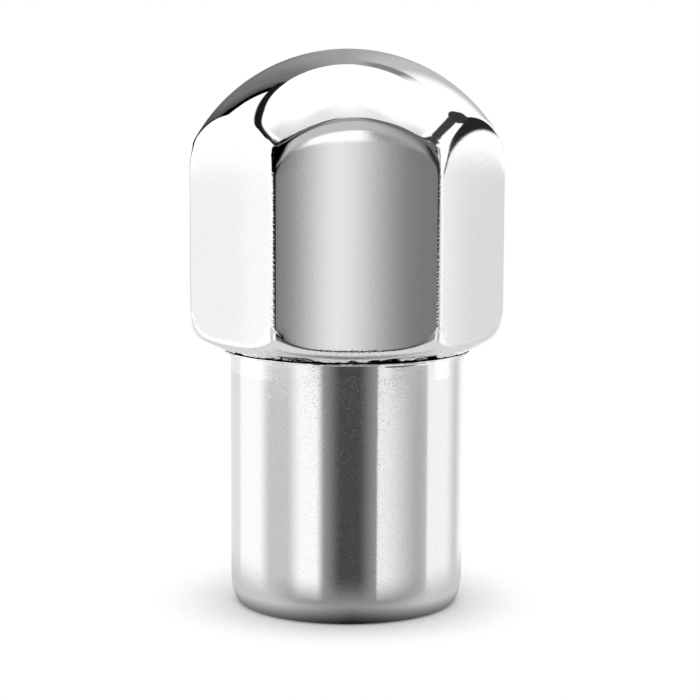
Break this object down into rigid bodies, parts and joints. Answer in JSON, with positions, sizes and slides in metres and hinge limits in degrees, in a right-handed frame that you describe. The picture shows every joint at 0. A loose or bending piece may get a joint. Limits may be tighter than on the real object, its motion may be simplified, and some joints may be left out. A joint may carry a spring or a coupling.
{
  "type": "capped lug nut",
  "caption": "Closed-end lug nut with a long plain shank, a hexagonal drive under a bright domed cap, and a blind metric thread that holds a wheel on its stud.",
  "frame": {"origin": "centre of the shank's end face, which the nut stands on", "axes": "+Z along the nut's axis from the open end of the thread to the dome; two flats of the hexagon are square to Y"},
  "size_m": [0.0236, 0.0206, 0.0415],
  "materials": {
    "cap_chrome": "bright polished, softly mottled on the flats, scuffed along the rolled edge",
    "body_steel": "fine satin, turned smoother just under the collar"
  },
  "bodies": {
    "root": {"cap": "cap_chrome", "nut_body": "body_steel"}
  },
  "joints": []
}
